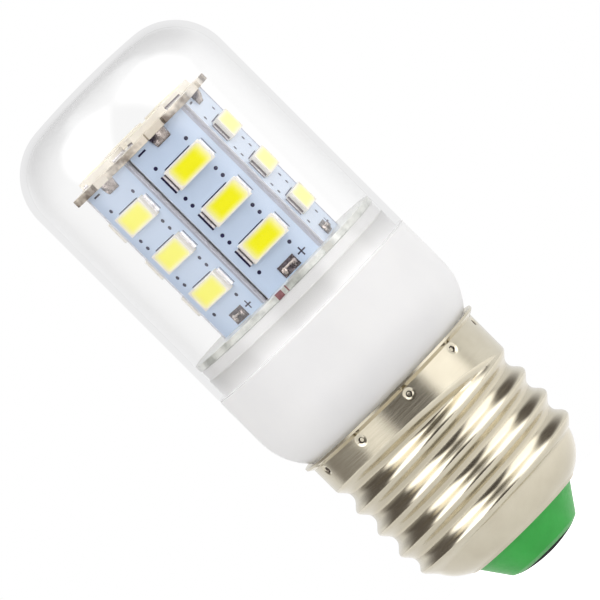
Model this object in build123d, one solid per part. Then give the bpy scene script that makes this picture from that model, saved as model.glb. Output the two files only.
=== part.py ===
"""LED fridge bulb: a screw cap, a white neck and a clear cover over a six-sided column of LED strips.

Millimetres. Z is the bulb's axis, from the tip of the centre contact up to the dome.
Strip 1 faces -Y, and the others follow it round at equal steps.
"""
import os
from math import acos, atan2, cos, degrees, pi, radians, sin, sqrt, tan

from build123d import *

# Centre contact and insulator
contact_radius = 4.25
contact_rise = 0.6
rivet_radius = 1.2
rivet_hole_clearance = 0.05
insulator_end_radius = 5.26
insulator_bevel = 0.47
insulator_height = 4.0
insulator_wall = 1.7
insulator_flange_angle = 32.0
insulator_clearance = 0.06

# Screw shell, a 27 mm round-thread cap rolled from thin sheet
sheet = 0.3
crest_radius = 13.1
thread_depth = 1.0
thread_pitch = 3.629
thread_turns = 4.0
thread_facets = 8
thread_fullness = 1.45
thread_overcut = 0.05
thread_start_angle = 188.0
thread_run_out_angle = 155.0
thread_entry_height = 2.4
thread_lead_in = 2.0
lip_radius = 7.9
round_end_radius = 6.16
skirt_height = 6.0
flare_width = 0.7
flare_height = 0.45
dimple_count = 10
dimple_angle = 262.6
dimple_sides = 6
dimple_radius = 0.7
dimple_taper = 60.0
dimple_depth = 0.2
dimple_drop = 1.6

# White neck housing
body_height = 12.9
shoulder_overhang = 2.2
shoulder_radius = 8.5
spigot_length = 3.1
spigot_clearance = 0.1
spigot_wall = 1.4
collar_height = 4.15
collar_wall = 1.4
bore_step_rise = 2.5

# Clear cover
cover_wall = 0.85
cover_clearance = 0.05
cover_seat_gap = 0.1
cover_headroom = 9.2
cover_corner_radius = 7.6
cover_crown_radius = 110.0

# Boards of the LED column
strip_count = 6
base_board_thickness = 0.85
strip_margin = 1.05
strip_thickness = 0.6
strip_length = 23.2
strip_corner_gap = 0.14
top_board_thickness = 0.95
top_board_overhang = 1.04

# Surface-mount LEDs
led_length = 5.7
led_width = 3.0
led_height = 0.9
led_rows = 3
led_pitch = 6.15
window_length = 4.7
window_width = 2.6
window_corner = 0.45
window_depth = 0.4
window_recess = 0.05
terminal_reach = 0.65
terminal_width = 2.5
terminal_height = 0.35
top_led_margin = 1.1
top_terminal_reach = 0.35

# Solder at the two ends of each strip
joint_width = 2.6
joint_height = 1.4
joint_foot = 0.25
joint_depth = 0.75
joint_crown = 0.15
notch_clearance = 0.3

# Driver inside the neck
driver_thickness = 1.2
driver_clearance = 0.25
film_capacitor_size = (12.0, 5.5, 9.0)
film_capacitor_x = 3.5
smoothing_radius = 4.0
smoothing_length = 11.0
smoothing_x = -5.0
rectifier_size = (4.8, 2.4, 3.9)
rectifier_x = 5.0
resistor_radius = 1.5
resistor_length = 8.0
resistor_x = -7.0
part_gap = 0.05
feed_pin_side = 0.64
feed_pin_x = 2.0
feed_pin_tail = 3.0
feed_pin_stand = 0.7
pin_hole_clearance = 0.1
wire_radius = 0.5
wire_overlap = 3.0
wire_end_gap = 0.1
wire_bend_radius = 4.0

# Heights, stacked from the tip up
lip_height = contact_rise + insulator_height
thread_start = lip_height + thread_entry_height
thread_top = thread_start + thread_turns * thread_pitch
rim_height = thread_top + skirt_height
ledge_height = rim_height + body_height
collar_top = ledge_height + collar_height
base_top = collar_top + base_board_thickness
strip_top = base_top + strip_length
strip_middle = base_top + strip_length / 2
column_top = strip_top + top_board_thickness
cover_top = column_top + cover_headroom

# Radii, from the cap outwards
root_radius = crest_radius - thread_depth
skirt_bore = crest_radius - sheet
spigot_radius = skirt_bore - spigot_clearance
spigot_bore = spigot_radius - spigot_wall
body_radius = crest_radius + shoulder_overhang
cover_bore = body_radius - cover_wall
collar_radius = cover_bore - cover_clearance
collar_bore = collar_radius - collar_wall
strip_step = 360 / strip_count
half_corner = tan(pi / strip_count)
strip_width = led_length + 2 * (terminal_reach + strip_margin)
strip_apothem = (strip_width + strip_corner_gap) / (2 * half_corner) + strip_thickness
top_apothem = strip_apothem + top_board_overhang
bore_step = rim_height + bore_step_rise

nodes = {}


def turned(*edges):
    """A solid turned about Z from its closed half section, drawn as radius and height."""
    return revolve(Plane.XZ * make_face(Curve() + list(edges)), Axis.Z)


def turned_points(*points):
    """The same, from the corners of a half section with straight sides."""
    return revolve(Plane.XZ * make_face(Polyline(*points, close=True)), Axis.Z)


def rod(radius, length):
    """A round bar that stands on the origin."""
    return Cylinder(radius, length, align=(Align.CENTER, Align.CENTER, Align.MIN))


def block(length, width, height):
    """A rectangular block that stands on the origin."""
    return Box(length, width, height, align=(Align.CENTER, Align.CENTER, Align.MIN))


def around_column(shape, index):
    """A copy of a strip 1 shape, turned to another strip's place."""
    return Rot(0, 0, strip_step * index) * shape


# The rounded lower end of the shell is an arc that runs tangent into the thread's root
round_centre_radius = root_radius - round_end_radius
lip_angle = degrees(acos((lip_radius - round_centre_radius) / round_end_radius))
round_centre_height = lip_height + round_end_radius * sin(radians(lip_angle))


def round_end_point(radius, angle):
    """A point on the rounded end, or on an arc inside it, at an angle below the horizontal."""
    drop = radius * sin(radians(angle))
    return (round_centre_radius + radius * cos(radians(angle)), round_centre_height - drop)


def round_end_arc(radius):
    """The arc of the rounded end, or one inside it, from the lip up to where it stands upright."""
    return CenterArc((round_centre_radius, round_centre_height), radius, -lip_angle, lip_angle)


# Centre contact: a shallow dome with a rivet through the insulator
rivet_top = contact_rise + insulator_wall + rivet_radius
contact_dome_radius = (contact_radius**2 + contact_rise**2) / (2 * contact_rise)
contact_dome = turned(
    RadiusArc((0, 0), (contact_radius, contact_rise), -contact_dome_radius),
    Polyline((contact_radius, contact_rise), (0, contact_rise), (0, 0)),
)
contact_rivet = Pos(0, 0, contact_rise) * rod(rivet_radius, rivet_top - contact_rise)
nodes["centre_contact"] = contact_dome + contact_rivet

# Insulator: a green cup whose flange is trapped behind the lip of the shell
flange_arc_radius = round_end_radius - sheet - insulator_clearance
neck_radius = lip_radius - sheet / 2 - insulator_clearance
neck_angle = degrees(acos((neck_radius - round_centre_radius) / flange_arc_radius))
flange_low = round_end_point(flange_arc_radius, neck_angle)
flange_high = round_end_point(flange_arc_radius, insulator_flange_angle)
bevel_top = contact_rise + insulator_bevel
rivet_hole = rivet_radius + rivet_hole_clearance
cup_floor = contact_rise + insulator_wall
nodes["cap_insulator"] = turned_points(
    (rivet_hole, contact_rise), (contact_radius, contact_rise), (insulator_end_radius, bevel_top),
    (neck_radius, lip_height - insulator_clearance), flange_low, flange_high,
    (flange_high[0] - insulator_wall, flange_high[1]), (insulator_end_radius - insulator_wall, cup_floor),
    (rivet_hole, cup_floor),
)

# Screw shell: the rounded end and the skirt turned from sheet, with a rolled thread between them
flare_low = rim_height - flare_height - sheet
flare_radius = crest_radius + flare_width
outer_lip = round_end_point(round_end_radius, lip_angle)
shell_outside = turned(
    Line((0, outer_lip[1]), outer_lip),
    round_end_arc(round_end_radius),
    Polyline(round_end_point(round_end_radius, 0), (root_radius, flare_low), (0, flare_low),
             (0, outer_lip[1])),
)
lead_in_low = thread_start + sheet
shell_outside += turned_points(
    (0, lead_in_low), (crest_radius - thread_lead_in, lead_in_low),
    (crest_radius, lead_in_low + thread_lead_in), (crest_radius, flare_low),
    (flare_radius, rim_height - sheet), (flare_radius, rim_height), (0, rim_height),
)


def thread_groove():
    """The rolled groove between two crests, a section in XZ: a wave with a broad root, in facets."""
    turns = [(step + 0.5) / thread_facets - 0.5 for step in range(thread_facets)]
    waves = [((1 - cos(2 * pi * turn)) / 2) ** thread_fullness for turn in turns]
    scale = (thread_depth + thread_overcut) / (max(waves) - min(waves))
    wave_points = [(root_radius + (wave - min(waves)) * scale, turn * thread_pitch)
                   for wave, turn in zip(waves, turns)]
    outside = crest_radius + thread_depth / 2
    low, high = wave_points[0], wave_points[-1]
    return Plane.XZ * make_face(Curve() + [
        Polyline(*wave_points), Polyline(high, (outside, high[1]), (outside, low[1]), low)])


thread_helix = Helix(thread_pitch, thread_turns * thread_pitch, crest_radius)
thread_cut = Pos(0, 0, thread_start) * Rot(0, 0, thread_start_angle) * sweep(
    thread_groove(), thread_helix, is_frenet=True)
# The groove climbs out through the skirt along a widening helix
run_out_rise = thread_pitch * thread_run_out_angle / 360
run_out_cone = degrees(atan2(thread_depth, run_out_rise))
run_out_helix = Helix(thread_pitch, run_out_rise, crest_radius, cone_angle=run_out_cone)
run_out_start = thread_start_angle + 360 * thread_turns
thread_run_out = Pos(0, 0, thread_top) * Rot(0, 0, run_out_start) * sweep(
    thread_groove(), run_out_helix, is_frenet=True)
shell_outside = shell_outside - thread_cut - thread_run_out

shell_bore_radius = root_radius - sheet
bore_widens = thread_top + thread_depth / 2
bore_wide = bore_widens + skirt_bore - shell_bore_radius
inner_lip = round_end_point(round_end_radius - sheet, lip_angle)
shell_inside = turned(
    Polyline((0, lip_height - sheet), (lip_radius, lip_height - sheet), outer_lip, inner_lip),
    round_end_arc(round_end_radius - sheet),
    Polyline(round_end_point(round_end_radius - sheet, 0), (shell_bore_radius, bore_widens),
             (skirt_bore, bore_wide), (skirt_bore, flare_low + sheet / 2),
             (skirt_bore + flare_width, rim_height + sheet / 2), (0, rim_height + sheet / 2),
             (0, lip_height - sheet)),
)
dimple_height = rim_height - dimple_drop
dimple_punch = Pos(crest_radius, 0, dimple_height) * Rot(0, -90, 0) * extrude(
    RegularPolygon(dimple_radius, dimple_sides), dimple_depth, taper=dimple_taper)
screw_shell = shell_outside - shell_inside
for index in range(dimple_count):
    screw_shell -= Rot(0, 0, dimple_angle + index * 360 / dimple_count) * dimple_punch
nodes["screw_shell"] = screw_shell

# Neck housing: rounded shoulder, plain body, collar for the cover and board, spigot for the shell
shoulder_centre_radius = body_radius - shoulder_radius
shoulder_foot_reach = skirt_bore - shoulder_centre_radius
shoulder_top = rim_height + sqrt(shoulder_radius**2 - shoulder_foot_reach**2)
shoulder_angle = degrees(atan2(shoulder_top - rim_height, shoulder_foot_reach))
spigot_bottom = rim_height - spigot_length
nodes["neck_housing"] = turned(
    Polyline((spigot_bore, spigot_bottom), (spigot_radius, spigot_bottom), (spigot_radius, rim_height),
             (skirt_bore, rim_height)),
    CenterArc((shoulder_centre_radius, shoulder_top), shoulder_radius, -shoulder_angle, shoulder_angle),
    Polyline((body_radius, shoulder_top), (body_radius, ledge_height), (collar_radius, ledge_height),
             (collar_radius, collar_top), (collar_bore, collar_top), (collar_bore, bore_step),
             (spigot_bore, bore_step), (spigot_bore, spigot_bottom)),
)

# Clear cover: a thin tube with a rounded corner and a slightly crowned end
cover_foot = ledge_height + cover_seat_gap
corner_centre_radius = body_radius - cover_corner_radius
crown_centre_height = cover_top - cover_crown_radius
corner_reach = cover_crown_radius - cover_corner_radius
corner_centre_height = crown_centre_height + sqrt(corner_reach**2 - corner_centre_radius**2)
corner_join = degrees(atan2(corner_centre_height - crown_centre_height, corner_centre_radius))


def dome(inset):
    """The solid inside the cover's outer face, set in by a wall."""
    side = body_radius - inset
    return turned(
        Polyline((0, cover_top - inset), (0, cover_foot), (side, cover_foot),
                 (side, corner_centre_height)),
        CenterArc((corner_centre_radius, corner_centre_height), cover_corner_radius - inset, 0,
                  corner_join),
        CenterArc((0, crown_centre_height), cover_crown_radius - inset, corner_join, 90 - corner_join),
    )


nodes["clear_cover"] = dome(0) - dome(cover_wall)

# Base board: a disc on the collar, with holes for the two feed pins
feed_pin_y = (driver_thickness + feed_pin_side) / 2
feed_hole_side = feed_pin_side + 2 * pin_hole_clearance
feed_pin_places = [Pos(side * feed_pin_x, feed_pin_y, 0) for side in (-1, 1)]
feed_hole = Pos(0, 0, collar_top) * block(feed_hole_side, feed_hole_side, base_board_thickness)
base_board = Pos(0, 0, collar_top) * rod(collar_radius, base_board_thickness)
for place in feed_pin_places:
    base_board -= place * feed_hole
nodes["base_board"] = base_board

# Top board: six-sided, notched at the middle of each side for the strip's solder
notch_width = joint_width + 2 * notch_clearance
top_board = Pos(0, 0, strip_top) * extrude(
    Rot(0, 0, strip_step / 2 - 90) * RegularPolygon(top_apothem, strip_count, major_radius=False),
    top_board_thickness)
notch = Pos(0, -strip_apothem - top_board_overhang, strip_top) * block(
    notch_width, 2 * top_board_overhang, top_board_thickness)
for index in range(strip_count):
    top_board -= around_column(notch, index)
nodes["top_board"] = top_board


def window_prism(depth, top):
    """The LED's window, with its corners cut, from a depth up to a height."""
    window = Rectangle(window_length, window_width)
    return Pos(0, 0, top - depth) * extrude(chamfer(window.vertices(), window_corner), depth)


def led_body():
    """A moulded LED package with a cup for the phosphor, on the XY plane."""
    return block(led_length, led_width, led_height) - window_prism(window_depth, led_height)


def led_phosphor():
    """The phosphor that fills the cup, just below the brim."""
    return window_prism(window_depth - window_recess, led_height - window_recess)


def led_terminals(reach):
    """The soldered metal at both ends of an LED."""
    end = (led_length + reach) / 2
    return [Pos(side * end, 0, 0) * block(reach, terminal_width, terminal_height) for side in (-1, 1)]


strip_face = Plane(origin=(0, -strip_apothem, strip_middle), x_dir=(1, 0, 0), z_dir=(0, -1, 0))
row_places = [strip_face * Pos(0, (row - (led_rows - 1) / 2) * led_pitch, 0) for row in range(led_rows)]
strip = Pos(0, -strip_apothem + strip_thickness / 2, base_top) * block(
    strip_width, strip_thickness, strip_length)


def strip_joint(section):
    """A lump of solder on the strip, from its section drawn as distance out and height."""
    outline = Polyline(*[(-strip_apothem - out, height) for out, height in section], close=True)
    return extrude(Plane.YZ * make_face(outline), joint_width / 2, both=True)


foot_joint_top = base_top + joint_height
foot_joint = strip_joint([
    (0, base_top), (joint_depth, base_top), (joint_foot, foot_joint_top), (0, foot_joint_top)])
head_joint_low = strip_top - joint_height
head_joint = strip_joint([
    (0, head_joint_low), (joint_foot, head_joint_low), (joint_depth, strip_top),
    (joint_depth, column_top), (0, column_top + joint_crown)])

for index in range(strip_count):
    number = index + 1
    nodes[f"led_strip_{number}"] = around_column(strip, index)
    nodes[f"led_bodies_{number}"] = [around_column(place * led_body(), index) for place in row_places]
    nodes[f"led_phosphors_{number}"] = [
        around_column(place * led_phosphor(), index) for place in row_places]
    nodes[f"led_terminals_{number}"] = [
        around_column(place * end, index) for place in row_places for end in led_terminals(terminal_reach)]
    nodes[f"strip_joints_{number}"] = [around_column(joint, index) for joint in (foot_joint, head_joint)]

# LEDs on the top board, one along each side
top_led_ring = top_apothem - top_led_margin - led_width / 2
top_places = [
    Rot(0, 0, strip_step * index) * Pos(0, -top_led_ring, column_top) for index in range(strip_count)]
nodes["top_led_bodies"] = [place * led_body() for place in top_places]
nodes["top_led_phosphors"] = [place * led_phosphor() for place in top_places]
nodes["top_led_terminals"] = [
    place * end for place in top_places for end in led_terminals(top_terminal_reach)]

# Driver: an upright board on the step in the neck, with its parts on both faces
driver_top = collar_top - driver_clearance
driver_width = 2 * sqrt((collar_bore - driver_clearance) ** 2 - (driver_thickness / 2) ** 2)
driver_height = driver_top - bore_step
driver_face = driver_thickness / 2
driver_middle = bore_step + driver_height / 2
nodes["driver_board"] = Pos(0, 0, bore_step) * block(driver_width, driver_thickness, driver_height)
nodes["film_capacitor"] = Pos(
    film_capacitor_x, -driver_face - film_capacitor_size[1] / 2, driver_middle) * Box(*film_capacitor_size)
nodes["bridge_rectifier"] = Pos(
    rectifier_x, driver_face + rectifier_size[1] / 2, driver_middle) * Box(*rectifier_size)
nodes["smoothing_capacitor"] = Pos(
    smoothing_x, driver_face + smoothing_radius + part_gap, driver_middle - smoothing_length / 2) * rod(
    smoothing_radius, smoothing_length)
nodes["fuse_resistor"] = Pos(
    resistor_x, -driver_face - resistor_radius - part_gap, driver_middle - resistor_length / 2) * rod(
    resistor_radius, resistor_length)
feed_pin_foot = driver_top - feed_pin_tail
feed_pin_length = base_top + feed_pin_stand - feed_pin_foot
nodes["feed_pins"] = [
    place * Pos(0, 0, feed_pin_foot) * block(feed_pin_side, feed_pin_side, feed_pin_length)
    for place in feed_pin_places]


# Leads: a straight one from the contact's rivet, and a bent one from inside the shell's skirt
lead_y = driver_face + wire_radius
live_top = driver_middle - film_capacitor_size[2] / 2 - wire_end_gap
nodes["live_wire"] = Pos(0, -lead_y, rivet_top) * rod(wire_radius, live_top - rivet_top)
neutral_x = (smoothing_x + smoothing_radius + rectifier_x - rectifier_size[0] / 2) / 2
neutral_low = spigot_bottom - wire_radius - wire_end_gap
neutral_end = sqrt((skirt_bore - wire_end_gap) ** 2 - (lead_y + wire_radius) ** 2)
neutral_path = FilletPolyline(
    (-neutral_end, lead_y, neutral_low), (neutral_x, lead_y, neutral_low),
    (neutral_x, lead_y, bore_step + wire_overlap), radius=wire_bend_radius)
nodes["neutral_wire"] = sweep(
    Plane(origin=neutral_path @ 0, z_dir=neutral_path % 0) * Circle(wire_radius), neutral_path)

os.makedirs("parts", exist_ok=True)
for name, shape in nodes.items():
    solids = shape if isinstance(shape, list) else [shape]
    part = Compound(children=[solid for piece in solids for solid in piece.solids()])
    export_step(part, f"parts/{name}.step")
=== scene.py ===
"""LED fridge bulb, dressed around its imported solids.

The file follows the bulb as it is put together, from the tip of the cap up to the clear cover.
Sizes are in millimetres and turned into metres by MM.
"""

from math import acos, asin, atan2, cos, degrees, hypot, pi, radians, sin, sqrt

import bmesh
import bpy
from mathutils import Matrix, Vector


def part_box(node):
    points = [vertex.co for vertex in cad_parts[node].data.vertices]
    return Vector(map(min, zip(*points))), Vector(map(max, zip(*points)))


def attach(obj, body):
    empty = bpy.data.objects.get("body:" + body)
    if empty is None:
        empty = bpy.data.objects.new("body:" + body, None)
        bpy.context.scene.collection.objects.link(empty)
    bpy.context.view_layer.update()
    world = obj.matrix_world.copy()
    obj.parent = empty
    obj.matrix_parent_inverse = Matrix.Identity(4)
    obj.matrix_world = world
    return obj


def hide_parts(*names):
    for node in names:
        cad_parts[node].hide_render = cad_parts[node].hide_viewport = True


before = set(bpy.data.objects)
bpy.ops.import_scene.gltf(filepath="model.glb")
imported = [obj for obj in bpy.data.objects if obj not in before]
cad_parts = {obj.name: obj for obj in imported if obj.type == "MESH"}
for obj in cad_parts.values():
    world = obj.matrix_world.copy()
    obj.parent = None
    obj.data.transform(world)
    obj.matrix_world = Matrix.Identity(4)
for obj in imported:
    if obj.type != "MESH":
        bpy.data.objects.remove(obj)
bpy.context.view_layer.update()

# Centre contact: a pressed steel button, dark with oxide, that closes the end of the cap.
# Its rivet goes through the insulator, and its rim is painted a little paler, a painted highlight.
MM = 0.001
CONTACT_RADIUS = 4.25
CONTACT_RISE = 0.6
CONTACT_RIVET = 1.2
CONTACT_TOP = 3.5
RIM_HIGHLIGHT = 0.16
RIM_HIGHLIGHT_FADE = 0.1
ROUND_STEPS = 128


def draw_to(bm, tip, *places):
    """Adds straight sides to a half section, through places of radius and height, and returns its new end."""
    for radius, height in places:
        end = bm.verts.new((radius * MM, 0, height * MM))
        bm.edges.new((tip, end))
        tip = end
    return tip


def draw_arc(bm, tip, centre_radius, centre_height, angle, steps):
    """Adds an arc to a half section by spinning its end about a centre, and returns the new end."""
    made = bmesh.ops.spin(
        bm, geom=[tip], cent=(centre_radius * MM, 0, centre_height * MM), axis=(0, -1, 0),
        angle=radians(angle), steps=steps)
    return next(part for part in made["geom_last"] if isinstance(part, bmesh.types.BMVert))


def turn_section(bm, steps=ROUND_STEPS):
    """Spins the half section once round the bulb's axis into a closed skin."""
    bmesh.ops.spin(
        bm, geom=bm.verts[:] + bm.edges[:], cent=(0, 0, 0), axis=(0, 0, 1), angle=2 * pi, steps=steps,
        use_merge=True)
    bmesh.ops.remove_doubles(bm, verts=bm.verts[:], dist=0.002 * MM)
    bmesh.ops.recalc_face_normals(bm, faces=bm.faces[:])


def round_rings(bm, rings, width, segments=3):
    """Rounds the circular edges that lie at the given radius and height."""
    picked = []
    for edge in bm.edges:
        places = [(hypot(vert.co.x, vert.co.y) / MM, vert.co.z / MM) for vert in edge.verts]
        for radius, height in rings:
            if all(abs(r - radius) < 0.01 and abs(z - height) < 0.01 for r, z in places):
                picked.append(edge)
    bmesh.ops.bevel(
        bm, geom=picked, offset=width * MM, affect="EDGES", segments=segments, profile=0.5, material=-1)


def finish_piece(bm, name, material, slot, *nodes, smooth_angle=20):
    """Makes a bmesh into a piece of the bulb that stands for the given nodes."""
    mesh = bpy.data.meshes.new(name)
    bm.to_mesh(mesh)
    bm.free()
    mesh.materials.append(material)
    piece = bpy.data.objects.new(name, mesh)
    bpy.context.scene.collection.objects.link(piece)
    mesh.shade_smooth()
    mesh.set_sharp_from_angle(angle=radians(smooth_angle))
    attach(piece, "root")
    if nodes:
        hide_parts(*nodes)
    return piece


def colour(red, green, blue):
    """A colour written as it looks on screen, from 0 to 255, made linear."""
    levels = [level / 255 for level in (red, green, blue)]
    return [v / 12.92 if v <= 0.04045 else ((v + 0.055) / 1.055) ** 2.4 for v in levels] + [1]


def add_node(tree, kind, inputs=None, **settings):
    """Adds a shader node, with its settings, and with values or links on its inputs."""
    node = tree.nodes.new(kind)
    for key, value in settings.items():
        setattr(node, key, value)
    for key, value in (inputs or {}).items():
        if isinstance(value, bpy.types.NodeSocket):
            tree.links.new(value, node.inputs[key])
        else:
            node.inputs[key].default_value = value
    return node


def new_material(name, **sockets):
    """A material with a Principled shader, whose plain values are set on its own sockets."""
    material = bpy.data.materials.new(name)
    material.use_nodes = True
    shader = material.node_tree.nodes["Principled BSDF"]
    for key, value in sockets.items():
        shader.inputs[key.replace("_", " ").title().replace("Ior", "IOR")].default_value = value
    return material, material.node_tree, shader


def mix_colours(tree, factor, first, second):
    """The output of a colour mix."""
    node = add_node(tree, "ShaderNodeMix", {0: factor, 6: first, 7: second}, data_type="RGBA")
    return node.outputs[2]


def new_group(name, inputs, outputs):
    """An empty shader node group with named float inputs and outputs."""
    group = bpy.data.node_groups.new(name, "ShaderNodeTree")
    for socket in inputs:
        group.interface.new_socket(socket, in_out="INPUT", socket_type="NodeSocketFloat")
    for socket in outputs:
        group.interface.new_socket(socket, in_out="OUTPUT", socket_type="NodeSocketFloat")
    return group, group.nodes.new("NodeGroupInput"), group.nodes.new("NodeGroupOutput")


# Mottle, which the bulb's materials share: soft uneven patches at one size, spread between two values,
# for a tone, a roughness or a fine bump.
mottle, mottle_in, mottle_out = new_group("mottle", ("Scale", "Low", "High"), ("Value",))
mottle_noise = add_node(mottle, "ShaderNodeTexNoise", {
    "Vector": add_node(mottle, "ShaderNodeTexCoord").outputs["Object"],
    "Scale": mottle_in.outputs["Scale"], "Detail": 3.0, "Roughness": 0.55})
mottle_range = add_node(mottle, "ShaderNodeMapRange", {
    "Value": mottle_noise.outputs["Fac"], "From Min": 0.3, "From Max": 0.7,
    "To Min": mottle_in.outputs["Low"], "To Max": mottle_in.outputs["High"]})
mottle.links.new(mottle_range.outputs["Result"], mottle_out.inputs["Value"])


def add_mottle(tree, scale, low, high):
    """The mottle group's value in a material."""
    node = add_node(tree, "ShaderNodeGroup", node_tree=mottle)
    for key, value in (("Scale", scale), ("Low", low), ("High", high)):
        node.inputs[key].default_value = value
    return node.outputs["Value"]


def add_bump(tree, shader, height, distance):
    """Feeds a height, times a distance in millimetres, into the shader's normal."""
    bump = add_node(tree, "ShaderNodeBump", {"Height": height, "Distance": distance * MM, "Strength": 1.0})
    tree.links.new(bump.outputs["Normal"], shader.inputs["Normal"])


contact_metal, tree, shader = new_material("blackened_contact", specular_ior_level=0.05)
rim_light = add_node(tree, "ShaderNodeAttribute", attribute_name="rim_highlight")
contact_stain = mix_colours(tree, add_mottle(tree, 900, 0.0, 1.0), colour(14, 14, 16), colour(30, 29, 29))
# The paler rim is a painted highlight.
contact_colour = mix_colours(tree, rim_light.outputs["Fac"], contact_stain, colour(44, 43, 42))
tree.links.new(contact_colour, shader.inputs["Base Color"])
tree.links.new(add_mottle(tree, 1400, 0.6, 0.78), shader.inputs["Roughness"])
add_bump(tree, shader, add_mottle(tree, 2600, 0.0, 1.0), 0.02)

bm = bmesh.new()
dome_radius = (CONTACT_RADIUS ** 2 + CONTACT_RISE ** 2) / (2 * CONTACT_RISE)
tip = bm.verts.new((0, 0, 0))
tip = draw_arc(bm, tip, 0, dome_radius, degrees(asin(CONTACT_RADIUS / dome_radius)), 14)
draw_to(bm, tip, (CONTACT_RIVET, CONTACT_RISE), (CONTACT_RIVET, CONTACT_TOP), (0, CONTACT_TOP))
turn_section(bm)
round_rings(bm, [(CONTACT_RADIUS, CONTACT_RISE)], 0.06)
rim_highlight_layer = bm.verts.layers.float.new("rim_highlight")
for vert in bm.verts:
    out = hypot(vert.co.x, vert.co.y) / MM
    vert[rim_highlight_layer] = max(0.0, min(1.0, (out - CONTACT_RADIUS + RIM_HIGHLIGHT) / RIM_HIGHLIGHT_FADE))
finish_piece(bm, "contact_button", contact_metal, "contact_metal", "centre_contact")

# Insulator: a cup moulded in bright green plastic, trapped behind the shell's lip.
# Its outside is a smooth cone, with a bevelled end where the contact sits.
INSULATOR_OUTLINE = [
    (1.25, 0.6), (4.25, 0.6), (5.26, 1.07), (7.69, 4.54), (7.69, 4.91), (10.86, 7.37), (9.16, 7.37),
    (3.56, 2.3), (1.25, 2.3)]

green_plastic, tree, shader = new_material("green_moulding", coat_weight=0.15, coat_roughness=0.25)
green_shade = mix_colours(tree, add_mottle(tree, 350, 0.0, 1.0), colour(40, 170, 60), colour(48, 182, 68))
tree.links.new(green_shade, shader.inputs["Base Color"])
tree.links.new(add_mottle(tree, 1800, 0.34, 0.5), shader.inputs["Roughness"])
add_bump(tree, shader, add_mottle(tree, 4200, 0.0, 1.0), 0.006)

bm = bmesh.new()
first = tip = bm.verts.new((INSULATOR_OUTLINE[0][0] * MM, 0, INSULATOR_OUTLINE[0][1] * MM))
tip = draw_to(bm, tip, *INSULATOR_OUTLINE[1:])
bm.edges.new((tip, first))
turn_section(bm)
round_rings(bm, INSULATOR_OUTLINE[1:3], 0.12)
finish_piece(bm, "insulator_cup", green_plastic, "green_insulator", "cap_insulator")

# Screw shell: thin sheet, nickel plated, drawn to a rounded end and rolled with a round thread.
# The thread runs out in a wedge below the plain skirt, which is crimped to the neck by punched dimples
# and ends in a narrow flared rim.
SHEET = 0.3
CREST_RADIUS = 13.1
THREAD_DEPTH = 1.0
ROOT_RADIUS = CREST_RADIUS - THREAD_DEPTH
PITCH = 3.629
THREAD_START = 7.0
THREAD_START_ANGLE = 188
THREAD_FULLNESS = 1.45
THREAD_TURNS = 4
RUN_IN_ANGLE = 40
RUN_OUT_FROM = 50
RUN_OUT_ANGLE = 95
RUN_OUT_LEVEL = 21.75
RUN_OUT_FALL = 2.6
LEAD_IN_LOW = 7.3
LEAD_IN_REACH = 2.0
LIP_RADIUS = 7.9
LIP_HEIGHT = 4.6
END_RADIUS = 6.16
FLARE_LOW = 26.766
FLARE_WIDTH = 0.7
RIM_HEIGHT = 27.516
SKIRT_BORE = CREST_RADIUS - SHEET
BORE_WIDENS = 22.016
DIMPLES = 10
DIMPLE_ANGLE = 262.6
DIMPLE_HEIGHT = 25.916
DIMPLE_RADIUS = 0.8
DIMPLE_DEPTH = 0.2
PIT_RADIUS = 0.4
PIT_DEPTH = 0.24
DIMPLE_MARGIN = 0.3
SHELL_STEPS = 360
THREAD_ROWS = 108

end_centre_radius = ROOT_RADIUS - END_RADIUS
lip_angle = degrees(acos((LIP_RADIUS - end_centre_radius) / END_RADIUS))
end_centre_height = LIP_HEIGHT + END_RADIUS * sin(radians(lip_angle))


def thread_radius(radius, height, angle):
    """The rolled wall's radius, and how deep it lies in the groove, at a height and an angle."""
    climb = (angle - THREAD_START_ANGLE) / 360
    turn = (height - THREAD_START) / PITCH - climb
    groove = round(turn)
    run = 360 * (groove + climb)
    run_in = max(0.0, min(1.0, run / RUN_IN_ANGLE))
    faded = max(0.0, min(1.0, (run - 360 * THREAD_TURNS - RUN_OUT_FROM) / RUN_OUT_ANGLE))
    run_out = 1 - faded ** 3
    level = max(0.0, min(0.5, (height - RUN_OUT_LEVEL + RUN_OUT_FALL * faded ** 2) / PITCH))
    crest_share = max(
        ((1 - cos(2 * pi * part)) / 2) ** THREAD_FULLNESS for part in (turn - groove, level))
    depth = THREAD_DEPTH * run_in * run_out * (1 - crest_share)
    crest = min(CREST_RADIUS, CREST_RADIUS - LEAD_IN_REACH + height - LEAD_IN_LOW)
    return max(radius, crest - depth), depth / THREAD_DEPTH


nickel, tree, shader = new_material("nickel_plate", metallic=1.0)
groove_shade_mask = add_node(tree, "ShaderNodeAttribute", attribute_name="groove").outputs["Fac"]
place = add_node(tree, "ShaderNodeTexCoord").outputs["Object"]
rings = add_node(tree, "ShaderNodeMapping", {"Vector": place, "Scale": (160, 160, 9000)})
draw_lines = add_node(tree, "ShaderNodeTexNoise", {
    "Vector": rings.outputs["Vector"], "Scale": 1.0, "Detail": 2.0})
nickel_tone = mix_colours(tree, add_mottle(tree, 260, 0.0, 1.0), colour(220, 213, 194), colour(212, 204, 184))
# The thread's grooves are painted darker by their depth: a painted shade in the recess.
nickel_groove_shade = mix_colours(tree, groove_shade_mask, nickel_tone, colour(206, 198, 178))
# The punched pits are painted dark: a painted shade inside each pit.
pit_shade_mask = add_node(tree, "ShaderNodeAttribute", attribute_name="pit").outputs["Fac"]
tree.links.new(mix_colours(tree, pit_shade_mask, nickel_groove_shade, colour(74, 66, 60)), shader.inputs["Base Color"])
nickel_rough = add_node(tree, "ShaderNodeMapRange", {
    "Value": draw_lines.outputs["Fac"], "From Min": 0.3, "From Max": 0.7, "To Min": 0.14, "To Max": 0.22})
tree.links.new(nickel_rough.outputs["Result"], shader.inputs["Roughness"])
add_bump(tree, shader, draw_lines.outputs["Fac"], 0.0012)

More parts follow.
